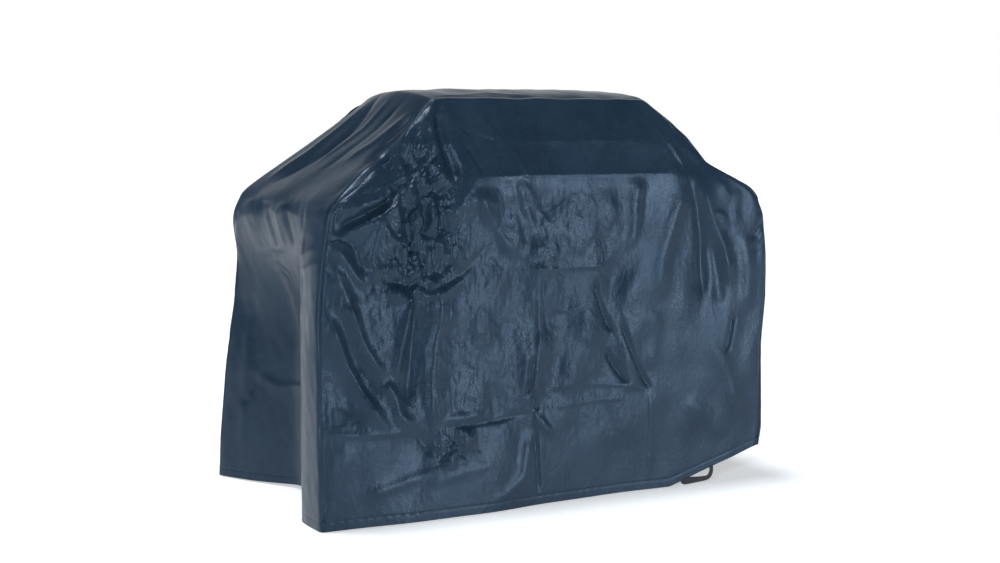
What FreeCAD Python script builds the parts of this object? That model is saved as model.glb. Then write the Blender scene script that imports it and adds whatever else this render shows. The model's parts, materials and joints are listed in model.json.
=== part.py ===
import FreeCAD, Part
import os
import Sketcher

# A sewn cover for a cart grill: a house-shaped shell, open downwards, that stands on its hem.
# X is the width, Y the depth with the front at -Y, Z up. The origin is the middle of the floor area.

os.makedirs("parts", exist_ok=True)
doc = FreeCAD.newDocument("grill_cover")

# Driving dimensions in millimetres: alias, value, what it is.
DIMENSIONS = [
    ("left_hem_reach", 707, "from the middle to the left end at the hem"),
    ("right_hem_reach", 680, "from the middle to the right end at floor height"),
    ("left_shoulder_reach", 655, "to the outer edge of the left side shelf"),
    ("right_shoulder_reach", 707, "to the outer edge of the right side shelf"),
    ("left_hood_reach", 300, "to the left edge of the flat hood top"),
    ("right_hood_reach", 350, "to the right edge of the flat hood top"),
    ("shoulder_height", 815, "height of the side shelves"),
    ("cover_height", 1120, "height of the flat hood top"),
    ("hem_half_depth", 385, "half depth of the skirt at the hem"),
    ("console_half_depth", 345, "front edge of the grill's console"),
    ("console_height", 885, "height of the console edge"),
    ("brow_depth", 318, "lid handle that the front folds over"),
    ("brow_height", 985, "height of the lid handle"),
    ("hood_front_depth", 220, "front edge of the hood top"),
    ("hood_back_depth", 160, "back edge of the hood top"),
    ("back_shoulder_depth", 346, "back edge of the grill's body"),
    ("back_shoulder_height", 845, "height of the body's back edge"),
    ("lift_start", 355, "where the hem leaves the floor, right of the middle"),
    ("lift_width", 325, "length of the stretch that rises"),
    ("lift_rise", 92, "how far the hem has risen at its end"),
    ("skin_thickness", 1.2, "coated fabric of the panels"),
    ("fold_thickness", 1.0, "turned-up hem and seam binding"),
    ("webbing_thickness", 1.8, "webbing of the tie loops"),
    ("hem_width", 28, "height of the turned-up hem"),
    ("binding_reach", 12, "width of the binding on each side of a seam"),
    ("webbing_width", 22, "width of the sewn loop ends"),
    ("sewn_length", 34, "length of the sewn loop ends"),
    ("sewn_start", 1, "the sewn ends begin this far above the hem edge"),
    ("loop_spacing", 100, "distance between the two ends of a loop"),
    ("loop_centre", 456, "distance of the right loops from the middle"),
    ("left_loop_centre", 575, "distance of the left loops from the middle"),
    ("hinge_drop", 1.6, "swing axis below the hem edge"),
    ("hinge_setback", 1.5, "swing axis behind the sewn ends, for the loops that lie inside"),
    ("floor_gap", 0.3, "clearance of the lying loops above the floor"),
    ("loop_round", 5, "rounding of a loop's corners"),
]
sheet = doc.addObject("Spreadsheet::Sheet", "Dims")
size = {}
for row, (alias, value, meaning) in enumerate(DIMENSIONS, start=1):
    sheet.set("A%d" % row, alias)
    sheet.set("B%d" % row, str(value))
    sheet.set("C%d" % row, meaning)
    sheet.setAlias("B%d" % row, alias)
    size[alias] = float(value)
doc.recompute()

SECTOR_DEPTH = 10.0  # how far a panel's sector reaches inside and outside of its outer face
OUTWARD = {"front": -1, "back": 1}  # the way each long side looks along Y


def number_for(expression):
    """The number that a sheet expression stands for."""
    return float(sum_of_terms(expression.replace("Dims.", "")))


def sum_of_terms(text):
    """Adds the signed terms of a sheet expression; a term is a product of aliases and numbers."""
    total = 0.0
    for term in text.replace("-", "+-").split("+"):
        term = term.strip()
        if not term:
            continue
        sign = -1.0 if term.startswith("-") else 1.0
        product = sign
        for factor in term.lstrip("-").split("*"):
            factor = factor.strip()
            product *= size[factor] if factor in size else float(factor)
        total += product
    return total


def origin_plane(body, role):
    """One of the body's own origin planes, found by its role."""
    for feature in body.Origin.OriginFeatures:
        if feature.Role == role:
            return feature
    raise ValueError(role)


def outline(sketch, corners):
    """Draws a closed polygon and ties both coordinates of each corner to the sheet."""
    places = [FreeCAD.Vector(number_for(across), number_for(up), 0) for across, up in corners]
    first = sketch.GeometryCount
    for index, place in enumerate(places):
        following = places[(index + 1) % len(places)]
        sketch.addGeometry(Part.LineSegment(place, following), False)
    for index, (across, up) in enumerate(corners):
        line = first + index
        following = first + (index + 1) % len(corners)
        sketch.addConstraint(Sketcher.Constraint("Coincident", line, 2, following, 1))
        for kind, expression, value in (
            ("DistanceX", across, places[index].x),
            ("DistanceY", up, places[index].y),
        ):
            number = sketch.addConstraint(Sketcher.Constraint(kind, -1, 1, line, 1, value))
            sketch.setExpression("Constraints[%d]" % number, expression)


def padded_body(name, role, outlines, length_expression):
    """A body made of one sketch padded evenly to both sides of an origin plane."""
    body = doc.addObject("PartDesign::Body", name)
    sketch = body.newObject("Sketcher::SketchObject", name + "_sketch")
    sketch.AttachmentSupport = [(origin_plane(body, role), "")]
    sketch.MapMode = "FlatFace"
    for corners in outlines:
        outline(sketch, corners)
    pad = body.newObject("PartDesign::Pad", name + "_pad")
    pad.Profile = sketch
    pad.SideType = "Symmetric"
    pad.setExpression("Length", length_expression)
    doc.recompute()
    return body


def common(name, *shapes):
    """What all the shapes share."""
    shared = doc.addObject("Part::MultiCommon", name)
    shared.Shapes = list(shapes)
    return shared


def cut(name, base, tool):
    """The base without the tool."""
    result = doc.addObject("Part::Cut", name)
    result.Base = base
    result.Tool = tool
    return result


def inset(name, solid, depth):
    """The convex solid with every wall and the roof moved inwards by the depth."""
    shape = solid.Shape
    for face in solid.Shape.Faces:
        look = face.normalAt(0, 0)
        if look.z < -0.5:
            continue
        step = look * -depth
        if look.z < 0:
            # A wall that leans outwards moves level, so that the open bottom stays on the floor.
            level = FreeCAD.Vector(look.x, look.y, 0)
            step = level * (-depth / level.dot(level))
        shape = shape.common(solid.Shape.translated(step))
    inner = doc.addObject("Part::Feature", name)
    inner.Shape = shape
    return inner


# The whole outline: the front view gives the slopes and ends, the side view the front and back.
front_view = [
    ("-Dims.left_hem_reach", "0"),
    ("Dims.right_hem_reach", "0"),
    ("Dims.right_shoulder_reach", "Dims.shoulder_height"),
    ("Dims.right_hood_reach", "Dims.cover_height"),
    ("-Dims.left_hood_reach", "Dims.cover_height"),
    ("-Dims.left_shoulder_reach", "Dims.shoulder_height"),
]
side_view = [
    ("-Dims.hem_half_depth", "0"),
    ("Dims.hem_half_depth", "0"),
    ("Dims.back_shoulder_depth", "Dims.back_shoulder_height"),
    ("Dims.hood_back_depth", "Dims.cover_height"),
    ("-Dims.hood_front_depth", "Dims.cover_height"),
    ("-Dims.brow_depth", "Dims.brow_height"),
    ("-Dims.console_half_depth", "Dims.console_height"),
]
lifted_hem = [
    ("Dims.lift_start", "0"),
    ("Dims.lift_start + 2*Dims.lift_width", "2*Dims.lift_rise"),
    ("Dims.lift_start + 2*Dims.lift_width", "-Dims.lift_rise"),
    ("Dims.lift_start", "-Dims.lift_rise"),
]
hem_zone = [
    ("-2*Dims.left_hem_reach", "Dims.hem_width"),
    ("Dims.lift_start", "Dims.hem_width"),
    ("Dims.lift_start + 2*Dims.lift_width", "2*Dims.lift_rise + Dims.hem_width"),
    ("Dims.lift_start + 2*Dims.lift_width", "-Dims.lift_rise"),
    ("-2*Dims.left_hem_reach", "-Dims.lift_rise"),
]
gable = padded_body("gable", "XZ_Plane", [front_view], "4*Dims.hem_half_depth")
profile = padded_body("profile", "YZ_Plane", [side_view], "4*Dims.left_hem_reach")
lift = padded_body("lift", "XZ_Plane", [lifted_hem], "4*Dims.hem_half_depth")
hem_band = padded_body("hem_band", "XZ_Plane", [hem_zone], "4*Dims.hem_half_depth")

# Three nested layers: the fabric skin, the folds and bindings on it, and the webbing on those.
house = common("house", gable, profile)
doc.recompute()
fold_depth = size["skin_thickness"] + size["fold_thickness"]
webbing_depth = fold_depth + size["webbing_thickness"]
behind_skin = inset("behind_skin", house, size["skin_thickness"])
behind_folds = inset("behind_folds", house, fold_depth)
behind_webbing = inset("behind_webbing", house, webbing_depth)
skin = cut("skin", cut("skin_uncut", house, behind_skin), lift)
fold_layer = cut("fold_layer", cut("fold_layer_uncut", behind_skin, behind_folds), lift)
webbing_layer = cut("webbing_layer", cut("webbing_layer_uncut", behind_folds, behind_webbing), lift)
doc.recompute()


STEEP = 0.3  # a wall's outward direction has less height than this, a slope's has more


def side_name(face):
    """Which panel an outer face is, from where it looks and how high it is."""
    look = face.normalAt(0, 0)
    height = face.CenterOfMass.z
    if look.z < -0.5:
        return None
    if look.z > 0.99:
        return "top"
    if abs(look.x) > STEEP:
        end = "left" if look.x < 0 else "right"
        return end + ("_end" if look.z < STEEP else "_slope")
    if look.y > 0:
        return "back_skirt" if look.z < STEEP else "back_hood"
    if height < size["console_height"]:
        return "front_skirt"
    return "front_console" if height < size["brow_height"] else "front_hood"


def sector(name, face, inner_face):
    """The space round one outer face, between the planes that halve the angles to its neighbours."""
    outside = []
    inside = []
    for corner in face.OuterWire.OrderedVertexes:
        deep = min(inner_face.Vertexes, key=lambda vertex: vertex.distToShape(corner)[0])
        outside.append(corner.Point * 2 - deep.Point)
        inside.append(deep.Point)
    walls = [Part.Face(Part.makePolygon(ring + [ring[0]])) for ring in (outside, inside)]
    for index, point in enumerate(outside):
        following = (index + 1) % len(outside)
        wall = [point, outside[following], inside[following], inside[index], point]
        walls.append(Part.Face(Part.makePolygon(wall)))
    frustum = doc.addObject("Part::Feature", name)
    frustum.Shape = Part.Solid(Part.makeShell(walls))
    return frustum


def named_faces(solid):
    """The walls and roof faces of a solid by the name of their panel."""
    found = {}
    for face in solid.Shape.Faces:
        panel = side_name(face)
        if panel:
            found[panel] = face
    return found


faces = named_faces(house)
deep_faces = named_faces(inset("deep", house, SECTOR_DEPTH))
sectors = {panel: sector(panel + "_sector", faces[panel], deep_faces[panel]) for panel in faces}

sub_parts = []


def sub_part(shape_object, label):
    """Registers an object as a piece of the cover under its own name."""
    shape_object.Label = label
    sub_parts.append(shape_object)
    return shape_object


# Panels: one for each flat stretch of the sewn shell, mitred against its neighbours.
for panel in sorted(sectors):
    sub_part(common(panel + "_sheet", skin, sectors[panel]), panel + "_panel")

# Turned-up hems: the bottom edge of each side folded inwards and up.
for panel, side in (
    ("front_skirt", "front"),
    ("back_skirt", "back"),
    ("left_end", "left"),
    ("right_end", "right"),
):
    sub_part(common(side + "_fold", fold_layer, hem_band, sectors[panel]), side + "_hem_fold")

# Seam bindings: a tape over the inside of the seam all round the front and the back panels.
def seam_lines(direction):
    """The outer edges where the front or back meets the ends, the slopes and the top."""
    joined = ("left_end", "left_slope", "top", "right_slope", "right_end")
    own = [name for name in faces if faces[name].CenterOfMass.y * direction > 1 and name not in joined]
    lines = []
    for name in own:
        for edge in faces[name].Edges:
            for other in joined:
                for match in faces[other].Edges:
                    if edge.CenterOfMass.distanceToPoint(match.CenterOfMass) < 0.01:
                        lines.append(edge)
    return lines


for side, direction in OUTWARD.items():
    rods = []
    seams = seam_lines(direction)
    for number, edge in enumerate(seams):
        start = edge.Vertexes[0].Point
        along = edge.Vertexes[1].Point - start
        rod = doc.addObject("Part::Cylinder", "%s_seam_rod_%d" % (side, number))
        rod.setExpression("Radius", "Dims.binding_reach")
        rod.Height = along.Length
        rod.Placement = FreeCAD.Placement(start, FreeCAD.Rotation(FreeCAD.Vector(0, 0, 1), along))
        rods.append(rod)
    for number, vertex in enumerate(corner.Point for edge in seams for corner in edge.Vertexes):
        knob = doc.addObject("Part::Sphere", "%s_seam_knob_%d" % (side, number))
        knob.setExpression("Radius", "Dims.binding_reach")
        knob.Placement.Base = vertex
        rods.append(knob)
    bundle = doc.addObject("Part::MultiFuse", side + "_seam_bundle")
    bundle.Shapes = rods
    tape = common(side + "_tape", fold_layer, bundle)
    sub_part(cut(side + "_tape_trimmed", tape, hem_band), side + "_seam_binding")

doc.recompute()

# Tie loops: four webbing loops at the hem near the corners. The right pair hangs from the raised
# hem, the left pair lies flat inside the cover.
# The outline of one loop in its own plane, clockwise from where its long leg leaves the hem: (along
# the hem, below the hem). The short leg is on the other side of the drooping middle.
LOOP_OUTLINE = [
    (-62, 0),
    (-44, 0),
    (-34, -6),
    (20, -21),
    (36, -22),
    (48, 0),
    (62, 0),
    (44, -31.5),
    (22, -31),
    (-38, -15.5),
]


def webbing_loop(name):
    """One loop in its own plane: its straight top edge is the line where it leaves the hem."""
    body = doc.addObject("PartDesign::Body", name)
    sketch = body.newObject("Sketcher::SketchObject", name + "_sketch")
    sketch.AttachmentSupport = [(origin_plane(body, "XZ_Plane"), "")]
    sketch.MapMode = "FlatFace"
    outline(sketch, [(str(across), str(up)) for across, up in LOOP_OUTLINE])
    pad = body.newObject("PartDesign::Pad", name + "_pad")
    pad.Profile = sketch
    pad.SideType = "Symmetric"
    pad.setExpression("Length", "Dims.webbing_thickness")
    doc.recompute()
    rounded = []
    for index, edge in enumerate(pad.Shape.Edges, start=1):
        runs_through = abs(edge.tangentAt(edge.FirstParameter).y) > 0.99
        if runs_through and edge.CenterOfMass.z < -1:
            rounded.append("Edge%d" % index)
    fillet = body.newObject("PartDesign::Fillet", name + "_rounding")
    fillet.Base = (pad, rounded)
    fillet.setExpression("Radius", "0.8*Dims.loop_round")
    body.Tip = fillet
    doc.recompute()
    return body


def wall_depth(layers, height=0.0):
    """How far from the middle the front or back lies behind so many layers of material."""
    lean = (size["hem_half_depth"] - size["console_half_depth"]) / size["console_height"]
    return size["hem_half_depth"] - layers - lean * height


rise = size["lift_rise"] / size["lift_width"]
hem_slope = FreeCAD.Rotation(FreeCAD.Vector(1, 0, 0), FreeCAD.Vector(1, 0, rise))
hem_over_loop = (size["loop_centre"] - size["lift_start"]) * rise
hanging_depth = wall_depth(fold_depth + size["webbing_thickness"] / 2, hem_over_loop)
lying_depth = wall_depth(webbing_depth + size["hinge_setback"])
hanging_height = hem_over_loop - size["hinge_drop"]
lying_height = size["floor_gap"] + size["webbing_thickness"] / 2
for side, direction in OUTWARD.items():
    hanging = webbing_loop(side + "_right_loop_body")
    hanging.Placement = FreeCAD.Placement(
        FreeCAD.Vector(size["loop_centre"], direction * hanging_depth, hanging_height),
        hem_slope,
    )
    sub_part(hanging, side + "_right_tie_loop")
    lying = webbing_loop(side + "_left_loop_body")
    lying.Placement = FreeCAD.Placement(
        FreeCAD.Vector(-size["left_loop_centre"], direction * lying_depth, lying_height),
        FreeCAD.Rotation(FreeCAD.Vector(1, 0, 0), 90 * -direction),
    )
    sub_part(lying, side + "_left_tie_loop")
    for end, centre in (("left", "-Dims.left_loop_centre"), ("right", "Dims.loop_centre")):
        strips = []
        for strip, shift in (("near", "-0.5*Dims.loop_spacing"), ("far", "0.5*Dims.loop_spacing")):
            box = doc.addObject("Part::Box", "%s_%s_%s_end" % (side, end, strip))
            middle = centre + " + " + shift
            box.setExpression("Length", "Dims.webbing_width")
            box.setExpression("Width", "2*Dims.webbing_width")
            box.setExpression("Height", "Dims.sewn_length")
            across = number_for(middle)
            above = max(0.0, (across - size["lift_start"]) * rise)
            box.Placement.Base.y = direction * size["hem_half_depth"] - size["webbing_width"]
            box.Placement.Base.z = above + size["sewn_start"]
            box.setExpression("Placement.Base.x", middle + " - 0.5*Dims.webbing_width")
            strips.append(box)
        pair = doc.addObject("Part::MultiFuse", "%s_%s_end_boxes" % (side, end))
        pair.Shapes = strips
        ends = common("%s_%s_ends" % (side, end), webbing_layer, pair)
        sub_part(ends, "%s_%s_loop_ends" % (side, end))
doc.recompute()

for item in doc.Objects:
    if "Invalid" in item.State or "Error" in item.State:
        raise RuntimeError("%s is %s" % (item.Label, item.State))
for piece in sub_parts:
    shape = piece.Shape
    if shape.isNull() or not shape.isValid() or not shape.Solids:
        raise RuntimeError("bad shape: " + piece.Label)
    shape.exportStep(os.path.join("parts", piece.Label + ".step"))
    print("%-22s solids %d, volume %.0f" % (piece.Label, len(shape.Solids), shape.Volume))
print("hanging loops swing at y %.3f, z %.3f" % (hanging_depth, hanging_height))
print("lying loops swing at y %.3f, z %.3f" % (lying_depth, lying_height))
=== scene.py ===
import json
import math

import bpy
import numpy as np
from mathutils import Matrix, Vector
from mathutils.bvhtree import BVHTree


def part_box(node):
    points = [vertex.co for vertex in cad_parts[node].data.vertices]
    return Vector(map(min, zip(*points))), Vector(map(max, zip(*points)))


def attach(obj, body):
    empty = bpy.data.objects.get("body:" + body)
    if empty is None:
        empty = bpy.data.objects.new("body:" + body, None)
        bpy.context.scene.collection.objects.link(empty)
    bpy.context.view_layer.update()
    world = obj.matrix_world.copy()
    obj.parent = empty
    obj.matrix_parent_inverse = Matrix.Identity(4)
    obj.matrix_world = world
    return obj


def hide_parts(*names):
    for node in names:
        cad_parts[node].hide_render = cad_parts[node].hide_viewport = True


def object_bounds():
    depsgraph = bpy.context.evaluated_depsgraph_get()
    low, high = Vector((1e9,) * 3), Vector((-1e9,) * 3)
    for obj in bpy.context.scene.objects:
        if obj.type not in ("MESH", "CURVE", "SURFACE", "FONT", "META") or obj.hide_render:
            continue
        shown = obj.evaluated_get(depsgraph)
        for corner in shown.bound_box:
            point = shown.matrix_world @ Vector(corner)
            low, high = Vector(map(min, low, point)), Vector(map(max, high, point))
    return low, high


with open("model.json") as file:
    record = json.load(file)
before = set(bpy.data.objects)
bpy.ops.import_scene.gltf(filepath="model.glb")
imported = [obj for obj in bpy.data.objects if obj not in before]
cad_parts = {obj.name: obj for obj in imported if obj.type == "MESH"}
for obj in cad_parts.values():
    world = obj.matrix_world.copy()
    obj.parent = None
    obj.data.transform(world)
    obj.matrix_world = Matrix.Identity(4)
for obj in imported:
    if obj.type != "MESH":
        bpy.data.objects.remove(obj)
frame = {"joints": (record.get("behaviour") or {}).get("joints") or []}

cad_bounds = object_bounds()

# ---------------------------------------------------------------- sizes, in metres, from the frame
MM = 0.001
(LOW_X, LOW_Y, _), (HIGH_X, HIGH_Y, COVER_TOP) = cad_bounds
RIM = COVER_TOP - 0.030                # height where the walls turn into the crowned hood top
HEM_WIDTH = 0.028                      # height of the turned-up hem
STITCH_LINE = 0.0235                   # height of the stitches that hold the hem
SHELF_LEFT, SHELF_RIGHT = 0.815, 0.80  # heights where the two ends turn into the slopes
SIMULATED_FRAMES = 14
LARGEST_MOVE = 0.014                   # how far the simulation may move a point
FRONT, RIGHT, BACK, LEFT, TOP = range(5)
PANEL_FRONT, PANEL_GUSSET, PANEL_BACK = range(3)


def smooth_curve(points, blur):
    """A function through the points, in order of the first number, with its corners rounded."""
    places = np.array([point[0] for point in points], float)
    values = np.array([point[1] for point in points], float)
    fine = np.linspace(places[0], places[-1], 1200)
    line = np.interp(fine, places, values)
    step = fine[1] - fine[0]
    half = max(1, int(3 * blur / step))
    kernel = np.exp(-0.5 * (np.arange(-half, half + 1) * step / blur) ** 2)
    padded = np.concatenate([
        2 * line[0] - line[half:0:-1],
        line,
        2 * line[-1] - line[-2:-half - 2:-1],
    ])
    rounded = np.convolve(padded, kernel / kernel.sum(), mode="valid")
    return lambda place: np.interp(place, fine, rounded)


# Outline of the draped cover at each height: where its four sides are.
left_x = smooth_curve([
    (0.0, -0.706), (0.25, -0.705), (0.54, -0.700), (0.65, -0.688), (0.70, -0.681), (0.74, -0.673),
    (0.80, -0.662), (0.825, -0.643), (0.98, -0.452), (1.06, -0.352), (1.11, -0.288),
], 0.008)
right_x = smooth_curve([
    (0.0, 0.655), (0.09, 0.672), (0.15, 0.684), (0.39, 0.688), (0.52, 0.706), (0.64, 0.715),
    (0.76, 0.714), (0.805, 0.696), (0.842, 0.660), (0.881, 0.592), (0.924, 0.528),
    (0.975, 0.468), (1.05, 0.412), (1.11, 0.352),
], 0.008)
front_y = smooth_curve([
    (0.0, -0.392), (0.3, -0.378), (0.6, -0.364), (0.86, -0.350), (0.882, -0.3485),
    (0.886, -0.3465), (0.976, -0.316), (0.982, -0.312), (1.04, -0.272), (1.11, -0.222),
], 0.004)
back_y = smooth_curve([
    (0.0, 0.384), (0.4, 0.368), (0.83, 0.347), (0.86, 0.336), (1.0, 0.245), (1.11, 0.168),
], 0.010)
hem_bulge = smooth_curve([
    (-0.72, 0.0), (-0.62, 0.010), (-0.45, 0.020), (-0.25, 0.020), (-0.08, 0.0), (0.14, -0.012),
    (0.72, -0.008),
], 0.03)
left_recess = smooth_curve([
    (-0.40, 0.0), (-0.30, 0.0), (-0.255, 0.004), (-0.215, 0.022), (-0.15, 0.075), (-0.07, 0.122),
    (0.05, 0.148), (0.12, 0.142), (0.255, 0.062), (0.36, 0.012), (0.40, 0.0),
], 0.010)
recess_height = smooth_curve([
    (0.0, 1.0), (0.45, 0.95), (0.58, 0.70), (0.68, 0.34), (0.77, 0.06), (0.82, 0.0), (1.2, 0.0),
], 0.02)
REAR_PINCH = smooth_curve([
    (0.0, 0.0), (0.12, 0.002), (0.333, 0.016), (0.515, 0.038), (0.64, 0.034), (0.69, 0.022), (0.73, 0.006),
    (0.77, 0.002), (0.80, 0.010), (0.84, 0.0), (1.2, 0.0),
], 0.012)
# The hem rises to the right of LIFT_START, and the rows above it follow up to the height LIFT_FADE.
LIFT_START, LIFT_SLOPE, LIFT_TOP, LIFT_FADE = 0.362, 0.295, 0.092, 0.45
# Dents of the outline, as (place, reach, push).
DENTS = [
    ((-0.46, -0.33, 0.945), (0.07, 0.06, 0.06), (0.004, 0.016, -0.026)),
    ((-0.56, -0.35, 0.875), (0.07, 0.05, 0.045), (0.0, 0.006, -0.012)),
    ((-0.40, -0.34, 0.90), (0.05, 0.05, 0.06), (0.0, 0.014, 0.0)),
    ((0.50, -0.33, 0.90), (0.07, 0.06, 0.05), (0.0, 0.010, -0.008)),
]


def smooth_step(share):
    share = np.clip(share, 0.0, 1.0)
    return share * share * (3 - 2 * share)


def hem_height(x, y, side):
    """How far the hem hangs above the floor."""
    lift = np.clip((x - LIFT_START) * LIFT_SLOPE, 0.0, LIFT_TOP)
    wave = 0.0005 * (2 + np.sin(9 * x + 2.1 * y + 0.6) + np.sin(23 * x - 7 * y))
    raised = np.where(side == LEFT, 0.010 * np.exp(-((y - 0.02) / 0.16) ** 2), 0.0)
    return lift + wave + raised + 0.0006


# ---------------------------------------------------------------- the shell as one grid of quads
def places_between(stops):
    """Places from 0 to 1 with the step at each place taken from the stops (place, step), all in metres."""
    length = stops[-1][0] - stops[0][0]
    at, found = stops[0][0], [stops[0][0]]
    while at < stops[-1][0]:
        at += np.interp(at, [s[0] for s in stops], [s[1] for s in stops])
        found.append(at)
    found = np.array(found)
    return (found - found[0]) / (found[-1] - found[0])


WIDE = places_between([
    (LOW_X, 0.0042), (LOW_X + 0.03, 0.0078), (-0.25, 0.0078), (-0.05, 0.0098), (0.30, 0.0120),
    (HIGH_X - 0.03, 0.0115), (HIGH_X, 0.0055),
])
DEEP = places_between([
    (LOW_Y, 0.0048), (LOW_Y + 0.03, 0.0120), (HIGH_Y - 0.03, 0.0130), (HIGH_Y, 0.0060),
])
ROWS = np.concatenate([
    [0.0, 0.005, 0.012, 0.019, STITCH_LINE, HEM_WIDTH, 0.034, 0.042],
    0.05 + places_between([
        (0.05, 0.0100), (0.50, 0.0100), (0.58, 0.0082), (0.98, 0.0082), (RIM, 0.0090),
    ]) * (RIM - 0.05),
])
HEM_ROW = int(np.argmin(abs(ROWS - HEM_WIDTH)))
N_WIDE, N_DEEP, N_ROWS = len(WIDE) - 1, len(DEEP) - 1, len(ROWS)
N_COLUMNS = 2 * (N_WIDE + N_DEEP)
# The columns at the corners: front left, front right, back right, back left, and front left again.
CORNERS = [0, N_WIDE, N_WIDE + N_DEEP, 2 * N_WIDE + N_DEEP, N_COLUMNS]
COLUMN_SIDE = np.repeat([FRONT, RIGHT, BACK, LEFT], [N_WIDE, N_DEEP, N_WIDE, N_DEEP])
COLUMN_PLACE = np.concatenate([WIDE[:-1], DEEP[:-1], 1 - WIDE[:0:-1], 1 - DEEP[:0:-1]])


def corner_rounding(height):
    """Radius of the upright corners: tight at the hem, softer over the shelf and the roof."""
    return np.interp(height, [0.0, 0.5, 0.8, 0.95, 1.1], [0.012, 0.014, 0.026, 0.040, 0.030])


def round_corners(x, y, lengths, z):
    """Moves the points near each upright corner onto a fillet."""
    radius = corner_rounding(z)
    along = COLUMN_PLACE * lengths
    from_start = along < lengths / 2
    near = np.where(from_start, along, lengths - along)
    turn = np.clip(1 - near / radius, 0, 1) * math.pi / 4
    active = near < radius
    shifted = np.where(active, radius * (1 - np.sin(turn)) - near, 0.0) * np.where(from_start, 1, -1)
    inward = np.where(active, radius * (1 - np.cos(turn)), 0.0)
    ahead_x = np.choose(COLUMN_SIDE, [1, 0, -1, 0])
    ahead_y = np.choose(COLUMN_SIDE, [0, 1, 0, -1])
    return x + shifted * ahead_x - inward * ahead_y, y + shifted * ahead_y + inward * ahead_x


def wall_points():
    """The columns from the hem up to the rim, as an array of rows x columns x 3."""
    points = np.zeros((N_ROWS, N_COLUMNS, 3))
    for row, level in enumerate(ROWS):
        z = np.full(N_COLUMNS, level)
        for _ in range(3):
            west, east, south, north = left_x(z), right_x(z), front_y(z), back_y(z)
            x = np.choose(COLUMN_SIDE, [
                west + (east - west) * COLUMN_PLACE, east, east + (west - east) * COLUMN_PLACE, west,
            ])
            y = np.choose(COLUMN_SIDE, [
                south, south + (north - south) * COLUMN_PLACE, north, north + (south - north) * COLUMN_PLACE,
            ])
            z = level + hem_height(x, y, COLUMN_SIDE) * np.clip(1 - level / LIFT_FADE, 0, 1)
        lengths = np.where(COLUMN_SIDE % 2 == 0, east - west, north - south)
        x, y = round_corners(x, y, lengths, z)
        points[row] = np.stack([x, y, z], axis=1)
    return points


def rim_column(i, j):
    """The wall column that the edge point (i, j) of the hood top belongs to, or None inside."""
    if j == 0:
        return i
    if i == N_WIDE:
        return N_WIDE + j
    if j == N_DEEP:
        return N_WIDE + N_DEEP + (N_WIDE - i)
    if i == 0:
        return (2 * N_WIDE + N_DEEP + (N_DEEP - j)) % N_COLUMNS
    return None


def shell():
    """Points, quads, and the panel and the side that each quad belongs to."""
    walls = wall_points()
    rim = walls[-1]
    front, back = rim[:N_WIDE + 1], rim[CORNERS[BACK]:CORNERS[LEFT] + 1][::-1]
    top_index = np.zeros((N_WIDE + 1, N_DEEP + 1), int)
    inner = []
    count = N_ROWS * N_COLUMNS
    base = (N_ROWS - 1) * N_COLUMNS
    for i in range(N_WIDE + 1):
        for j in range(N_DEEP + 1):
            column = rim_column(i, j)
            if column is not None:
                top_index[i, j] = base + column
                continue
            top_index[i, j] = count
            count += 1
            point = front[i] * (1 - DEEP[j]) + back[i] * DEEP[j]
            u, v = 2 * WIDE[i] - 1, 2 * DEEP[j] - 1
            crown = 0.007 * (1 - v ** 2) ** 0.7 * (1 - u ** 4)
            inner.append(point + np.array([0, 0, crown]))
    quads, panels, sides = [], [], []
    for row in range(N_ROWS - 1):
        for column in range(N_COLUMNS):
            following = (column + 1) % N_COLUMNS
            lower, upper = row * N_COLUMNS, (row + 1) * N_COLUMNS
            quads.append((lower + column, lower + following, upper + following, upper + column))
            side = COLUMN_SIDE[column]
            sides.append(side)
            panels.append((PANEL_FRONT, PANEL_GUSSET, PANEL_BACK, PANEL_GUSSET)[side])
    for i in range(N_WIDE):
        for j in range(N_DEEP):
            quads.append(tuple(top_index[[i, i + 1, i + 1, i], [j, j, j + 1, j + 1]]))
            panels.append(PANEL_GUSSET)
            sides.append(TOP)
    points = np.concatenate([walls.reshape(-1, 3), np.array(inner)])
    return points, np.array(quads), np.array(panels), np.array(sides)


def surface_normals(points, quads):
    """Outward normals from the quads round each point."""
    a, b, c, d = (points[quads[:, k]] for k in range(4))
    face = np.cross(c - a, d - b)
    normals = np.zeros_like(points)
    for k in range(4):
        for axis in range(3):
            normals[:, axis] += np.bincount(quads[:, k], face[:, axis], len(points))
    return normals / np.maximum(np.linalg.norm(normals, axis=1, keepdims=True), 1e-12)


def smoothed(points, quads, share, hold):
    """The points pulled towards the middle of their neighbours, less where they are held."""
    ends = np.concatenate([quads[:, [0, 1]], quads[:, [1, 2]], quads[:, [2, 3]], quads[:, [3, 0]]])
    ends = np.concatenate([ends, ends[:, ::-1]])
    number = np.bincount(ends[:, 0], minlength=len(points))
    mean = np.stack([
        np.bincount(ends[:, 0], points[ends[:, 1], axis], len(points)) for axis in range(3)
    ], axis=1) / number[:, None]
    return points + (mean - points) * share * (1 - hold[:, None])


# ---------------------------------------------------------------- folds
def near_line(line, p, q):
    """Distance to a line of points, the share of it that is behind, and the side: 1 is left, -1 is right."""
    line = np.array(line, float)
    steps = np.diff(line, axis=0)
    lengths = np.linalg.norm(steps, axis=1)
    best = np.full(len(p), np.inf)
    share, side = np.zeros(len(p)), np.ones(len(p))
    behind = 0.0
    for start, step, length in zip(line, steps, lengths):
        t = np.clip(((p - start[0]) * step[0] + (q - start[1]) * step[1]) / length ** 2, 0, 1)
        away_p, away_q = p - start[0] - t * step[0], q - start[1] - t * step[1]
        far = np.hypot(away_p, away_q)
        closer = far < best
        best = np.where(closer, far, best)
        share = np.where(closer, behind + t * length, share)
        side = np.where(closer, np.sign(step[0] * away_q - step[1] * away_p), side)
        behind += length
    return best, share / behind, side


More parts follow.
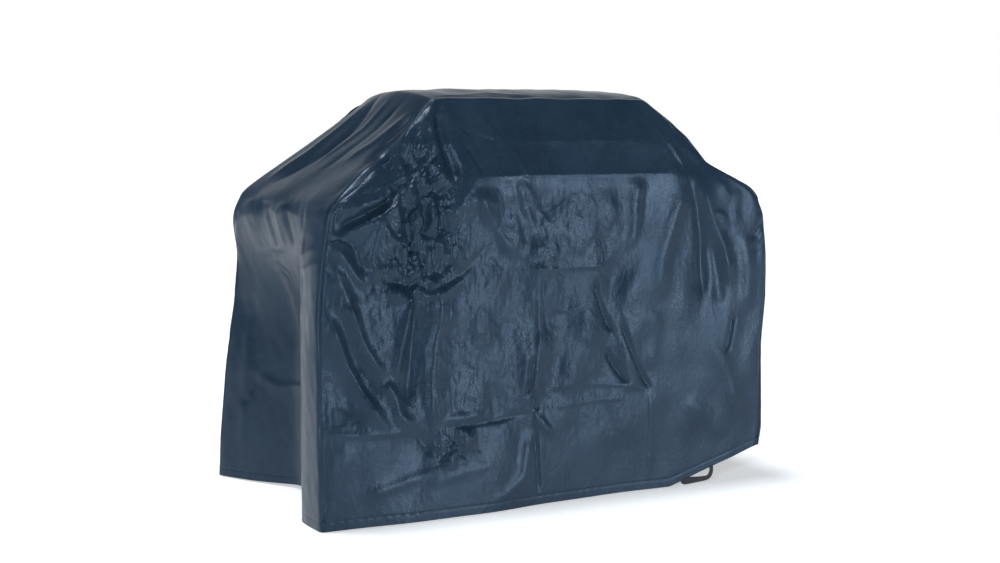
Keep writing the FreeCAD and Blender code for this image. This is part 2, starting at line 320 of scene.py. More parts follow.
def folds(p, q, rows, blunt=1.0):
    """Sum of the folds at the places (p, q).

    A row is a line of places, a height in mm, the widths in mm on the right and the left of the line, and
    how round the crest is.
    """
    total = np.zeros(len(p))
    for line, height, right, left, crest in rows:
        reach = 4 * max(right, left) * MM
        low, high = np.min(line, axis=0) - reach, np.max(line, axis=0) + reach
        inside = np.flatnonzero((p > low[0]) & (p < high[0]) & (q > low[1]) & (q < high[1]))
        if not len(inside):
            continue
        far, share, side = near_line(line, p[inside], q[inside])
        width = np.where(side > 0, left, right) * MM * blunt
        taper = smooth_step(share / 0.22) * smooth_step((1 - share) / 0.22)
        total[inside] += height * MM * (0.08 + 0.92 * taper) * np.exp(-(far / width) ** crest)
    return total


def cells(p, q, size, seed, stretch=1.0):
    """Crumpled facets: the height of the nearest of many tilted planes, from 0 to about 1."""
    p, q = p / size, q / size / stretch
    made = np.random.default_rng(seed)
    shift_p, shift_q = made.random((64, 64)), made.random((64, 64))
    first, second = np.full(len(p), 9.0), np.full(len(p), 9.0)
    whole_p, whole_q = np.floor(p).astype(int), np.floor(q).astype(int)
    for dp in (-1, 0, 1):
        for dq in (-1, 0, 1):
            i, j = whole_p + dp, whole_q + dq
            far = np.hypot(i + shift_p[i % 64, j % 64] - p, j + shift_q[i % 64, j % 64] - q)
            second = np.minimum(second, np.maximum(first, far))
            first = np.minimum(first, far)
    return second - first


def waves(p, q, size, seed, number=14):
    """Soft hills of about that size, from -1 to 1."""
    made = np.random.default_rng(seed)
    total = np.zeros(len(p))
    for _ in range(number):
        turn, phase = made.random(2) * 2 * math.pi
        length = size * (0.7 + 0.9 * made.random())
        total += np.sin((p * math.cos(turn) + q * math.sin(turn)) * 2 * math.pi / length + phase)
    return total / math.sqrt(number)


def patch(p, q, centre, half):
    """1 in the middle of an oval patch, falling to 0 outside it."""
    return np.exp(-(((p - centre[0]) / half[0]) ** 2 + ((q - centre[1]) / half[1]) ** 2) ** 1.6)


# Crumpled patches of the front panel, as (share, (x, z) centre, half width and height).
CRUMPLES = [
    (1.0, (-0.40, 0.80), (0.115, 0.20)), (0.55, (-0.45, 0.64), (0.10, 0.07)),
    (0.7, (-0.335, 0.19), (0.075, 0.045)), (0.4, (-0.03, 0.65), (0.07, 0.05)),
]
# Folds of the front panel, as (x, z) places from the top down or from left to right.
FRONT_FOLDS = [
    # long tented folds below the left shelf corner
    ([(-0.68, 0.56), (-0.63, 0.44), (-0.58, 0.34), (-0.535, 0.27), (-0.505, 0.235)], 19, 30, 10, 1.1),
    ([(-0.685, 0.69), (-0.65, 0.63), (-0.61, 0.55), (-0.576, 0.455), (-0.52, 0.365)], 25, 13, 18, 1.1),
    ([(-0.525, 0.375), (-0.495, 0.33), (-0.484, 0.28), (-0.46, 0.258), (-0.43, 0.24)], 11, 14, 14, 1.4),
    ([(-0.425, 0.60), (-0.45, 0.514), (-0.474, 0.443), (-0.49, 0.365)], 22, 20, 9, 1.1),
    ([(-0.545, 0.57), (-0.524, 0.49), (-0.512, 0.42)], 5, 22, 22, 1.6),
    ([(-0.352, 0.64), (-0.363, 0.513), (-0.384, 0.44), (-0.393, 0.38), (-0.40, 0.19)], 13, 6, 32, 1.1),
    ([(-0.42, 0.58), (-0.425, 0.50), (-0.445, 0.38), (-0.46, 0.29)], -14, 18, 16, 1.6),
    ([(-0.69, 0.70), (-0.665, 0.655), (-0.64, 0.61), (-0.61, 0.545)], -16, 9, 8, 1.3),
    ([(-0.65, 0.56), (-0.61, 0.46), (-0.57, 0.385)], -8, 14, 14, 1.5),
    # knots and pockets at the end of the left shelf
    ([(-0.665, 0.73), (-0.614, 0.67), (-0.585, 0.627), (-0.552, 0.60)], 11, 7, 20, 1.2),
    ([(-0.63, 0.82), (-0.637, 0.78), (-0.642, 0.74)], -10, 6, 7, 1.3),
    ([(-0.645, 0.735), (-0.61, 0.772), (-0.548, 0.798), (-0.485, 0.829), (-0.463, 0.862), (-0.438, 0.90)],
     -26, 10, 9, 1.2),
    ([(-0.625, 0.745), (-0.56, 0.772), (-0.50, 0.80), (-0.455, 0.84)], 17, 14, 9, 1.2),
    ([(-0.64, 0.822), (-0.56, 0.831), (-0.49, 0.838)], 8, 12, 10, 1.3),
    ([(-0.496, 0.81), (-0.535, 0.737), (-0.552, 0.686), (-0.542, 0.61)], 20, 11, 28, 1.2),
    ([(-0.515, 0.72), (-0.511, 0.64)], 6, 8, 8, 1.5),
    ([(-0.60, 0.74), (-0.58, 0.69), (-0.565, 0.64)], -9, 18, 18, 1.7),
    ([(-0.437, 0.88), (-0.429, 0.776), (-0.426, 0.709), (-0.415, 0.65)], -24, 11, 10, 1.2),
    ([(-0.421, 0.87), (-0.415, 0.80), (-0.405, 0.74)], 11, 11, 8, 1.3),
    ([(-0.385, 0.90), (-0.362, 0.80), (-0.357, 0.73), (-0.37, 0.67)], 12, 9, 14, 1.25),
    ([(-0.395, 0.86), (-0.385, 0.77), (-0.39, 0.69)], -9, 7, 8, 1.3),
    ([(-0.335, 0.90), (-0.325, 0.80), (-0.33, 0.70)], -7, 8, 8, 1.3),
    # hood corner
    ([(-0.305, 1.075), (-0.311, 1.02), (-0.308, 0.963), (-0.293, 0.906), (-0.293, 0.86)], -30, 12, 10, 1.2),
    ([(-0.315, 1.085), (-0.325, 1.04), (-0.35, 0.975)], 9, 9, 7, 1.2),
    ([(-0.37, 1.03), (-0.40, 0.98), (-0.43, 0.93)], -9, 10, 10, 1.3),
    ([(-0.294, 1.078), (-0.268, 1.02), (-0.228, 0.99)], 8, 9, 14, 1.3),
    ([(-0.292, 0.87), (-0.298, 0.75), (-0.306, 0.637)], 11, 5, 26, 1.2),
    # knot and the creases that leave it
    ([(-0.495, 0.622), (-0.45, 0.616), (-0.42, 0.598)], -7, 4, 5, 1.2),
    ([(-0.50, 0.61), (-0.47, 0.59), (-0.45, 0.575)], 7, 10, 8, 1.3),
    ([(-0.40, 0.589), (-0.345, 0.606), (-0.284, 0.636), (-0.222, 0.692)], -5, 5, 5, 1.2),
    ([(-0.39, 0.575), (-0.335, 0.592), (-0.275, 0.62)], 6, 10, 6, 1.3),
    # fans below the hood edge
    ([(-0.265, 0.872), (-0.22, 0.804), (-0.166, 0.718), (-0.122, 0.65)], 8, 8, 26, 1.2),
    ([(-0.25, 0.87), (-0.235, 0.78), (-0.22, 0.71)], -4, 14, 14, 1.5),
    ([(-0.144, 0.885), (-0.125, 0.78), (-0.112, 0.716), (-0.08, 0.64)], 5, 16, 8, 1.3),
    ([(-0.122, 0.885), (-0.09, 0.80), (-0.063, 0.736), (-0.06, 0.66)], 5, 9, 8, 1.25),
    ([(-0.108, 0.88), (-0.078, 0.842), (-0.037, 0.778), (-0.009, 0.713)], 4, 14, 8, 1.3),
    ([(-0.124, 0.969), (-0.105, 0.927), (-0.072, 0.87)], 4, 7, 9, 1.3),
    ([(0.284, 0.882), (0.268, 0.813), (0.255, 0.725), (0.232, 0.66)], 11, 36, 9, 1.3),
    ([(0.437, 0.86), (0.391, 0.765), (0.339, 0.634), (0.321, 0.52)], 10, 30, 24, 1.5),
    ([(0.457, 0.885), (0.474, 0.786), (0.482, 0.673), (0.484, 0.51)], -17, 13, 11, 1.3),
    ([(0.461, 0.878), (0.506, 0.762), (0.549, 0.67), (0.58, 0.55)], 14, 12, 24, 1.2),
    ([(0.539, 0.876), (0.559, 0.838), (0.58, 0.80)], 6, 8, 8, 1.3),
    ([(0.609, 0.84), (0.597, 0.79), (0.593, 0.73)], 6, 8, 8, 1.3),
    ([(0.523, 0.772), (0.551, 0.761), (0.561, 0.725)], 8, 8, 8, 1.4),
    ([(0.71, 0.75), (0.68, 0.716), (0.657, 0.688)], -7, 7, 8, 1.3),
    ([(0.70, 0.70), (0.685, 0.675), (0.66, 0.655)], -4, 5, 6, 1.3),
    ([(0.52, 0.70), (0.535, 0.60), (0.54, 0.50)], -6, 14, 16, 1.6),
    ([(0.63, 0.72), (0.64, 0.60), (0.635, 0.48)], 5, 22, 22, 1.7),
    # lower right
    ([(0.488, 0.414), (0.547, 0.346), (0.594, 0.218), (0.618, 0.176)], 5, 34, 18, 1.6),
    ([(0.407, 0.248), (0.49, 0.197), (0.555, 0.122)], 5, 30, 24, 1.7),
    ([(0.32, 0.52), (0.315, 0.42), (0.30, 0.33)], 5, 26, 20, 1.6),
    # lower left
    ([(-0.21, 0.17), (-0.34, 0.142), (-0.436, 0.118), (-0.62, 0.075)], 4, 8, 16, 1.3),
    ([(-0.20, 0.135), (-0.33, 0.112), (-0.43, 0.095)], 3, 8, 12, 1.3),
    ([(-0.435, 0.236), (-0.406, 0.188), (-0.397, 0.16)], -9, 7, 6, 1.3),
    ([(-0.098, 0.208), (-0.121, 0.085), (-0.178, 0.042), (-0.234, 0.026)], 6, 10, 22, 1.3),
    ([(-0.066, 0.245), (-0.051, 0.212), (-0.024, 0.188)], 9, 9, 9, 1.4),
    ([(-0.36, 0.25), (-0.30, 0.256), (-0.235, 0.26)], 6, 5, 10, 1.3),
]
# Crisp creases of the front panel, cut last: slits, and the lines where the cover was folded in its bag.
FRONT_CREASES = [
    ([(-0.705, 0.25), (-0.62, 0.237), (-0.50, 0.232), (-0.433, 0.237)], 4.5, 4, 22, 1.1),
    ([(-0.351, 0.236), (-0.288, 0.235), (-0.198, 0.24), (-0.086, 0.252)], -4, 5, 8, 1.2),
    ([(-0.12, 0.643), (-0.053, 0.631), (0.048, 0.634), (0.168, 0.632)], 3, 4, 22, 1.1),
    ([(-0.057, 0.65), (-0.06, 0.467), (-0.079, 0.33), (-0.076, 0.255), (-0.068, 0.143), (-0.063, 0.0)],
     4, 5, 14, 1.1),
    ([(-0.04, 0.64), (-0.045, 0.56), (-0.035, 0.49), (-0.03, 0.45)], -4, 5, 5, 1.2),
    ([(-0.083, 0.405), (-0.092, 0.35), (-0.102, 0.29)], -9, 5, 5, 1.3),
    ([(-0.087, 0.305), (-0.078, 0.28), (-0.068, 0.252)], -9, 5, 6, 1.3),
    ([(-0.077, 0.225), (-0.074, 0.125), (-0.071, 0.03)], -7, 5, 6, 1.2),
    ([(0.124, 0.615), (0.13, 0.565), (0.154, 0.501), (0.178, 0.44)], -12, 7, 3.5, 1.2),
    ([(0.153, 0.41), (0.184, 0.357), (0.226, 0.303)], -12, 7, 3.5, 1.2),
    ([(0.198, 0.50), (0.215, 0.45), (0.242, 0.386), (0.275, 0.322), (0.306, 0.277)], -10, 6, 3.5, 1.2),
    ([(-0.05, 0.306), (0.04, 0.316), (0.206, 0.303), (0.30, 0.281)], 2.5, 4, 14, 1.1),
    ([(-0.03, 0.257), (0.121, 0.267), (0.22, 0.264)], 2.5, 4, 14, 1.1),
    ([(-0.02, 0.526), (0.02, 0.518), (0.08, 0.526)], 2, 3, 8, 1.1),
    ([(0.296, 0.28), (0.294, 0.156), (0.292, 0.03)], 3, 4, 12, 1.1),
    ([(0.588, 0.485), (0.57, 0.413), (0.556, 0.365)], -9, 5, 6, 1.25),
    ([(-0.685, 0.24), (-0.687, 0.135), (-0.695, 0.04)], -8, 4, 5, 1.2),
    ([(-0.26, 1.02), (-0.228, 0.993), (-0.14, 0.972)], -7, 6, 6, 1.2),
    ([(-0.155, 0.972), (-0.06, 0.978), (0.12, 0.980), (0.31, 0.978)], 3.0, 9, 3.5, 1.1),
    ([(-0.24, 0.884), (-0.10, 0.885), (0.10, 0.885), (0.42, 0.884)], 2.4, 3.5, 8, 1.1),
    ([(-0.255, 0.975), (-0.235, 0.93), (-0.215, 0.885)], -5, 4, 7, 1.2),
    ([(-0.195, 1.05), (-0.16, 1.01), (-0.135, 0.972)], 4, 4, 8, 1.2),
    ([(-0.115, 0.97), (-0.10, 0.93), (-0.085, 0.885)], 4, 7, 4, 1.2),
    ([(0.30, 1.075), (0.35, 1.02), (0.40, 0.95), (0.445, 0.885)], 4, 5, 6, 1.2),
    ([(-0.665, 0.80), (-0.60, 0.812), (-0.50, 0.825)], 4, 4, 6, 1.2),
    ([(-0.69, 0.73), (-0.63, 0.735), (-0.58, 0.715)], -6, 4, 6, 1.2),
    ([(-0.41, 0.30), (-0.40, 0.24), (-0.404, 0.18)], -4, 4, 7, 1.2),
]
# Folds of the left end panel, as (y, z) places.
END_FOLDS = [
    ([(0.235, 0.662), (0.10, 0.665), (-0.06, 0.68)], -6, 5, 9, 1.2),
    ([(0.24, 0.675), (0.10, 0.68), (-0.02, 0.69)], 4, 9, 8, 1.3),
    ([(0.17, 0.545), (-0.018, 0.562), (-0.19, 0.588)], -5, 5, 8, 1.2),
    ([(-0.225, 0.80), (-0.215, 0.60), (-0.222, 0.30), (-0.23, 0.03)], 5, 6, 12, 1.3),
    ([(0.30, 0.50), (0.29, 0.30), (0.30, 0.05)], 5, 14, 8, 1.4),
    ([(0.02, 0.40), (0.03, 0.20), (0.02, 0.03)], 4, 18, 18, 1.6),
    ([(-0.12, 0.50), (-0.13, 0.30), (-0.12, 0.10)], -4, 16, 14, 1.6),
    ([(0.20, 0.658), (0.10, 0.642), (0.01, 0.63)], 5, 7, 7, 1.3),
    ([(0.17, 0.628), (0.11, 0.616), (0.06, 0.605)], 5, 6, 7, 1.3),
    ([(-0.12, 0.608), (-0.17, 0.60), (-0.215, 0.592)], 5, 6, 7, 1.3),
    ([(0.084, 0.80), (0.06, 0.74), (0.043, 0.68)], -6, 16, 16, 1.6),
    ([(-0.055, 0.80), (-0.08, 0.75), (-0.10, 0.70)], -6, 16, 14, 1.6),
    ([(-0.184, 0.805), (-0.19, 0.78), (-0.197, 0.755)], -5, 8, 7, 1.3),
    ([(0.01, 0.80), (-0.01, 0.74), (-0.02, 0.69)], 4, 16, 16, 1.6),
    ([(-0.21, 0.68), (-0.26, 0.70), (-0.31, 0.715)], 5, 7, 8, 1.3),
    ([(-0.215, 0.64), (-0.28, 0.66), (-0.345, 0.683)], 5, 7, 8, 1.3),
    ([(0.26, 0.315), (0.18, 0.285), (0.02, 0.30)], 5, 5, 12, 1.2),
    ([(0.25, 0.32), (0.27, 0.27), (0.30, 0.21)], -10, 9, 9, 1.3),
    ([(0.30, 0.78), (0.33, 0.74), (0.345, 0.70)], -8, 10, 10, 1.4),
]
# Folds of the left slope, as (x, y) places.
SLOPE_FOLDS = [
    ([(-0.60, 0.25), (-0.50, 0.16), (-0.33, 0.10)], 8, 26, 14, 1.5),
    ([(-0.60, 0.17), (-0.50, 0.05), (-0.43, 0.03), (-0.32, 0.06)], -9, 10, 22, 1.4),
    ([(-0.64, -0.345), (-0.57, -0.32), (-0.51, -0.31), (-0.47, -0.29)], 7, 10, 16, 1.3),
    ([(-0.52, -0.13), (-0.46, -0.19), (-0.40, -0.21), (-0.35, -0.22)], 6, 9, 12, 1.3),
    ([(-0.54, 0.03), (-0.42, -0.03), (-0.33, -0.04)], 4, 10, 14, 1.3),
    ([(-0.56, -0.06), (-0.44, -0.11), (-0.34, -0.13)], -4, 12, 14, 1.5),
    ([(-0.46, -0.24), (-0.41, -0.25), (-0.36, -0.235)], -8, 12, 8, 1.3),
    ([(-0.48, -0.30), (-0.46, -0.335), (-0.45, -0.36)], -16, 12, 10, 1.4),
]
# Folds of the hood top and the right slope, as (x, y) places.
ROOF_FOLDS = [
    ([(-0.28, -0.20), (-0.12, -0.17), (0.02, -0.19)], 2.5, 12, 10, 1.4),
    ([(0.10, 0.10), (0.22, 0.02), (0.30, 0.05)], 2.5, 16, 14, 1.5),
    ([(-0.22, 0.12), (-0.10, 0.05), (0.05, 0.08)], 2, 18, 14, 1.5),
    ([(0.40, -0.26), (0.47, -0.31), (0.53, -0.32)], 7, 9, 8, 1.3),
    ([(0.44, -0.22), (0.52, -0.28), (0.60, -0.31)], -7, 9, 8, 1.3),
    ([(0.46, -0.16), (0.56, -0.24), (0.66, -0.28)], 6, 10, 10, 1.3),
    ([(0.45, -0.05), (0.57, -0.12), (0.67, -0.18)], 5, 16, 12, 1.4),
    ([(0.44, 0.08), (0.56, 0.02), (0.68, 0.02)], -4, 18, 14, 1.5),
    ([(0.42, 0.18), (0.55, 0.16), (0.66, 0.22)], 5, 18, 14, 1.4),
]


def mesh_object(name, points, faces):
    """A smooth piece from an array or a list of points, and of faces."""
    if isinstance(faces, np.ndarray):
        faces = faces.tolist()
    mesh = bpy.data.meshes.new(name)
    mesh.from_pydata(np.asarray(points).tolist(), [], [tuple(face) for face in faces])
    mesh.update()
    mesh.polygons.foreach_set("use_smooth", [True] * len(mesh.polygons))
    piece = bpy.data.objects.new(name, mesh)
    bpy.context.scene.collection.objects.link(piece)
    return piece


def mesh_points(mesh):
    flat = np.zeros(len(mesh.vertices) * 3)
    mesh.vertices.foreach_get("co", flat)
    return flat.reshape(-1, 3)


def point_values(mesh, name, width=1):
    flat = np.zeros(len(mesh.vertices) * width)
    mesh.attributes[name].data.foreach_get("value" if width == 1 else "vector", flat)
    return flat if width == 1 else flat.reshape(-1, 3)


def touched(quads, wanted, number):
    """How far each point belongs to the wanted quads: 1 inside them, 0 outside, a half on the border."""
    total, inside = np.zeros(number), np.zeros(number)
    for k in range(4):
        total += np.bincount(quads[:, k], minlength=number)
        inside += np.bincount(quads[:, k], wanted.astype(float), number)
    return inside / np.maximum(total, 1)


def away_from_corner(rest, width):
    """0 on a corner seam, growing to 1 at that distance from it, for the front and back and for the ends."""
    x, y, z = rest.T
    across = np.minimum(abs(x - left_x(z)), abs(x - right_x(z)))
    along = np.minimum(abs(y - front_y(z)), abs(y - back_y(z)))
    return smooth_step(across / width), smooth_step(along / width)


def busy_share(x, z):
    """Where the front panel is creased all over: from the left corner to past the middle, below the hood."""
    return smooth_step((0.34 - x) / 0.22) * smooth_step((z - 0.10) / 0.20) * smooth_step((0.86 - z) / 0.05)


def sculpt(rest, quads, sides):
    """Moves the points of the bare shell into the broad folds of the draped cover."""
    number = len(rest)
    x, y, z = rest.T
    normals = surface_normals(rest, quads)
    on = {side: touched(quads, sides == side, number) for side in range(5)}
    free_x, free_y = away_from_corner(rest, 0.02)
    free_hem = 0.25 + 0.75 * smooth_step(z / 0.10)
    height = np.zeros(number)

    crumple = sum(share * patch(x, z, centre, half) for share, centre, half in CRUMPLES)
    facets = cells(x, z, 0.046, 3, 2.1) * 0.032 + cells(x + 0.2 * z, z, 0.021, 4, 1.7) * 0.012
    front = folds(x, z, FRONT_FOLDS) + crumple * (facets - 0.013)
    busy = 0.35 + 0.65 * busy_share(x, z)
    front += busy * (0.0060 * waves(x, z * 0.45, 0.17, 5) + 0.0016 * waves(x, z * 0.5, 0.065, 6))
    front += busy * 0.0040 * (cells(x, z, 0.085, 8, 1.8) - 0.4)
    height += on[FRONT] * front * np.maximum(free_x, 0.15)

    back = 0.7 * folds(0.02 - 0.93 * x, z, FRONT_FOLDS, 1.15)
    back += 0.005 * waves(x, z * 0.45, 0.19, 15) + 0.0018 * waves(x, z * 0.5, 0.07, 16)
    back += 0.0025 * (cells(x, z, 0.09, 18, 1.8) - 0.4)
    height += on[BACK] * back * np.maximum(free_x, 0.15)

    end = folds(y, z, END_FOLDS) + 0.0030 * waves(y, z * 0.5, 0.16, 25) * smooth_step((z - 0.1) / 0.5)
    end += 0.0016 * (cells(y, z, 0.06, 28, 1.4) - 0.4) * smooth_step((z - 0.3) / 0.3)
    height += on[LEFT] * end * np.maximum(free_y, 0.15) * (z < SHELF_LEFT)
    other = folds(-y, z, END_FOLDS, 1.1) + 0.006 * waves(y, z * 0.3, 0.18, 35)
    other += 0.0022 * (cells(y, z, 0.08, 38, 1.7) - 0.4)
    height += on[RIGHT] * other * np.maximum(free_y, 0.15) * (z < SHELF_RIGHT)

    slope = folds(x, y, SLOPE_FOLDS) + 0.0018 * waves(0.8 * x, y + 0.3 * x, 0.26, 45)
    slope += 0.0010 * (cells(x, y, 0.12, 48) - 0.4)
    height += on[LEFT] * slope * (z >= SHELF_LEFT)
    roof = folds(x, y, ROOF_FOLDS)
    far_slope = roof + 0.004 * waves(0.4 * x, y, 0.11, 55) + 0.0035 * (cells(x, y, 0.055, 58) - 0.4)
    height += on[RIGHT] * far_slope * (z >= SHELF_RIGHT)
    height += on[TOP] * (roof + 0.0012 * waves(x, y, 0.12, 65))

    points = rest + normals * (height * free_hem)[:, None]

    # The hood top is arched from front to back.
    arch = 0.022 * np.clip(1 - ((y + 0.015) / 0.20) ** 2, 0, 1) ** 0.8
    points[:, 2] += arch * smooth_step((z - 1.0) / (RIM - 1.0))

    # Where the cloth sinks between the hood and the end of the shelf.
    for place, reach, push in DENTS:
        away = np.linalg.norm((rest - np.array(place)) / np.array(reach), axis=1)
        points += np.exp(-away ** 2.4)[:, None] * np.array(push)

    # The rear left corner is drawn in at half height.
    pinch = REAR_PINCH(z) * smooth_step((y + 0.02) / 0.30) * smooth_step((-0.50 - x) / 0.14)
    points[:, 0] += pinch

    # The front hem bulges forwards, and the left end is drawn in between its two corners.
    low = smooth_step(1 - z / 0.42)
    points[:, 1] -= on[FRONT] * hem_bulge(x) * low
    points[:, 0] += on[LEFT] * left_recess(y) * recess_height(z)
    return points, crumple * on[FRONT]


def cloth_pass(points, quads, soft, frames):
    """The points after the sheet has settled as cloth, with a little spare material where it is crumpled."""
    piece = mesh_object("cloth_pass", points, quads)
    hold = piece.vertex_groups.new(name="hold")
    spare = piece.vertex_groups.new(name="spare")
    hold_weight = np.round(np.clip(0.40 - 0.36 * soft, 0.04, 1.0), 2)
    spare_weight = np.round(np.clip(0.20 + 0.80 * soft, 0.0, 1.0), 2)
    for group, weights in ((hold, hold_weight), (spare, spare_weight)):
        for weight in np.unique(weights):
            group.add(np.flatnonzero(weights == weight).tolist(), float(weight), "REPLACE")
    modifier = piece.modifiers.new("settle", "CLOTH")
    cloth = modifier.settings
    cloth.quality = 3
    cloth.mass = 0.25
    cloth.tension_stiffness = 18
    cloth.compression_stiffness = 18
    cloth.shear_stiffness = 8
    cloth.bending_stiffness = 0.15
    cloth.tension_damping = cloth.compression_damping = cloth.shear_damping = 12
    cloth.air_damping = 4
    cloth.vertex_group_mass = "hold"
    cloth.pin_stiffness = 0.35
    cloth.shrink_min = 0.0
    cloth.shrink_max = -0.08
    cloth.vertex_group_shrink = "spare"
    cloth.effector_weights.gravity = 0.15
    modifier.collision_settings.use_self_collision = False
    modifier.collision_settings.use_collision = False
    scene = bpy.context.scene
    scene.frame_start, scene.frame_end = 1, frames
    modifier.point_cache.frame_start, modifier.point_cache.frame_end = 1, frames
    for frame_number in range(1, frames + 1):
        scene.frame_set(frame_number)
    settled = piece.evaluated_get(bpy.context.evaluated_depsgraph_get())
    moved = mesh_points(settled.data)
    bpy.data.objects.remove(piece)
    scene.frame_set(1)
    return moved


def finer(points, quads, panels, sides, rest, soft):
    """The shell once subdivided, with its facts carried over."""
    piece = mesh_object("finer", points, quads)
    mesh = piece.data
    mesh.attributes.new("rest", "FLOAT_VECTOR", "POINT").data.foreach_set("vector", rest.ravel())
    mesh.attributes.new("soft", "FLOAT", "POINT").data.foreach_set("value", soft)
    mesh.attributes.new("panel", "INT", "FACE").data.foreach_set("value", panels)
    mesh.attributes.new("side", "INT", "FACE").data.foreach_set("value", sides)
    piece.modifiers.new("subdivide", "SUBSURF").levels = 1
    fine = bpy.data.meshes.new_from_object(piece.evaluated_get(bpy.context.evaluated_depsgraph_get()))
    new_quads = np.zeros(len(fine.polygons) * 4, int)
    fine.polygons.foreach_get("vertices", new_quads)
    new_panels, new_sides = np.zeros(len(fine.polygons), int), np.zeros(len(fine.polygons), int)
    fine.attributes["panel"].data.foreach_get("value", new_panels)
    fine.attributes["side"].data.foreach_get("value", new_sides)
    found = (mesh_points(fine), new_quads.reshape(-1, 4), new_panels, new_sides,
             point_values(fine, "rest", 3), point_values(fine, "soft"))
    bpy.data.objects.remove(piece)
    bpy.data.meshes.remove(fine)
    return found


def crease(points, quads, sides, rest, soft):
    """Cuts the crisp creases and the small crumples into the fine shell."""
    number = len(points)
    x, y, z = rest.T
    on = {side: touched(quads, sides == side, number) for side in range(5)}
    height = np.zeros(number)
    normals = surface_normals(points, quads)
    free_x, _ = away_from_corner(rest, 0.012)
    front = folds(x, z, FRONT_CREASES)
    fine_facets = cells(x + 0.3 * z, z, 0.013, 71, 1.5) - 0.4
    tiny = cells(x, z + 0.2 * x, 0.007, 72, 1.3) - 0.4
    front += soft * (fine_facets * 0.0034 + tiny * 0.0012)
    busy = 0.0003 * waves(x, z * 0.6, 0.022, 73) + 0.0006 * (cells(x, z, 0.034, 74, 1.5) - 0.4)
    front += busy_share(x, z) * busy
    height += on[FRONT] * front * np.maximum(free_x, 0.2)
    back = 0.8 * folds(0.02 - 0.93 * x, z, FRONT_CREASES) + 0.0006 * waves(x, z * 0.6, 0.024, 83)
    height += on[BACK] * back * free_x
    ends = on[LEFT] + on[RIGHT]
    up = z - abs(x)
    calm = 1 - 0.75 * smooth_step((z - 0.80) / 0.04)
    height += ends * calm * (0.0002 * waves(y, up, 0.05, 93) + 0.0007 * (cells(y, up, 0.07, 94, 1.2) - 0.4))

    # A shallow groove beside each corner seam, on the front and the back panel.
    gap = np.minimum(abs(x - left_x(z)), abs(x - right_x(z)))
    groove = -0.0040 * np.exp(-((gap - 0.007) / 0.0032) ** 2) * smooth_step((1.09 - z) / 0.02)
    groove += 0.0016 * np.exp(-(gap / 0.004) ** 2)
    height += (on[FRONT] + on[BACK]) * groove

    # The line of stitches that holds the hem draws the sheet in a little, with a pucker between stitches.
    side = np.argmax([on[k] for k in range(4)], axis=0)
    stitch_height = STITCH_LINE + hem_height(x, y, side) * (1 - STITCH_LINE / LIFT_FADE)
    hem_line = np.exp(-((z - stitch_height) / 0.0022) ** 2) * (on[TOP] < 0.5)
    along = np.where(on[FRONT] + on[BACK] > 0.5, x, y)
    height -= hem_line * (0.0008 + 0.0005 * np.sin(along * 2 * math.pi / 0.026))
    return points + normals * height[:, None]


# ---------------------------------------------------------------- build the draped sheet
rest, quads, panels, sides = shell()
coarse, soft = sculpt(rest, quads, sides)
coarse = smoothed(coarse, quads, 0.35, np.clip(soft * 1.5, 0, 0.8))
moved = cloth_pass(coarse, quads, np.clip(soft, 0, 1), SIMULATED_FRAMES) - coarse
far = np.linalg.norm(moved, axis=1, keepdims=True)
coarse = coarse + moved * np.minimum(1, LARGEST_MOVE / np.maximum(far, 1e-9))
coarse_quads = quads
points, quads, panels, sides, rest, soft = finer(coarse, quads, panels, sides, rest, soft)
points = crease(points, quads, sides, rest, soft)
points[:, 2] = np.maximum(points[:, 2], 0.0003)


def roughness_of(name, used):
    """How crumpled the surface is at each point, for the bump of the material."""
    x, z = rest[used, 0], rest[used, 2]
    if name == "gusset_panel":
        share = 0.05
    else:
        hood = smooth_step((z - 0.87) / 0.03)
        share = 0.12 + 0.16 * busy_share(x if name == "front_panel" else -x, z) + 0.10 * hood
    return np.clip(soft[used], 0, 1.2) * 0.9 + share


def panel_piece(name, wanted, nodes):
    chosen = quads[wanted]
    used, renumbered = np.unique(chosen, return_inverse=True)
    piece = mesh_object(name, points[used], renumbered.reshape(-1, 4))
    piece.data.attributes.new("crumple", "FLOAT", "POINT").data.foreach_set("value", roughness_of(name, used))
    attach(piece, "cover")
    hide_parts(*nodes)
    return piece


front_panel = panel_piece("front_panel", panels == PANEL_FRONT, [
    "front_skirt_panel", "front_console_panel", "front_hood_panel",
])
gusset_panel = panel_piece("gusset_panel", panels == PANEL_GUSSET, [
    "left_end_panel", "left_slope_panel", "top_panel", "right_slope_panel", "right_end_panel",
])
back_panel = panel_piece("back_panel", panels == PANEL_BACK, ["back_hood_panel", "back_skirt_panel"])


def node_maker(tree):
    """A function that adds a node to the tree, with its settings made and its inputs set or linked."""
    def add(kind, inputs=None, **settings):
        node = tree.nodes.new("ShaderNode" + kind)
        for setting, value in settings.items():
            setattr(node, setting, value)
        for socket, value in (inputs or {}).items():
            if isinstance(value, bpy.types.NodeSocket):
                tree.links.new(value, node.inputs[socket])
            else:
                node.inputs[socket].default_value = value
        return node
    return add


def ramp(add, value, *stops):
    """The colour for a value, on a ramp between two stops, each a position and a colour."""
    node = add("ValToRGB", {"Fac": value})
    for element, (position, colour) in zip(node.color_ramp.elements, stops):
        element.position = position
        element.color = (*colour, 1)
    return node.outputs["Color"]


def new_material(name, **constants):
    """A material whose shader has the constants, and the function that adds nodes to it."""
    material = bpy.data.materials.new(name)
    material.use_nodes = True
    for socket, value in constants.items():
        material.node_tree.nodes["Principled BSDF"].inputs[socket.replace("_", " ")].default_value = value
    return material, node_maker(material.node_tree)


def feed(material, **sources):
    """Links the outputs to the sockets of the material's shader."""
    shader = material.node_tree.nodes["Principled BSDF"]
    for socket, output in sources.items():
        material.node_tree.links.new(output, shader.inputs[socket.replace("_", " ")])
    return material


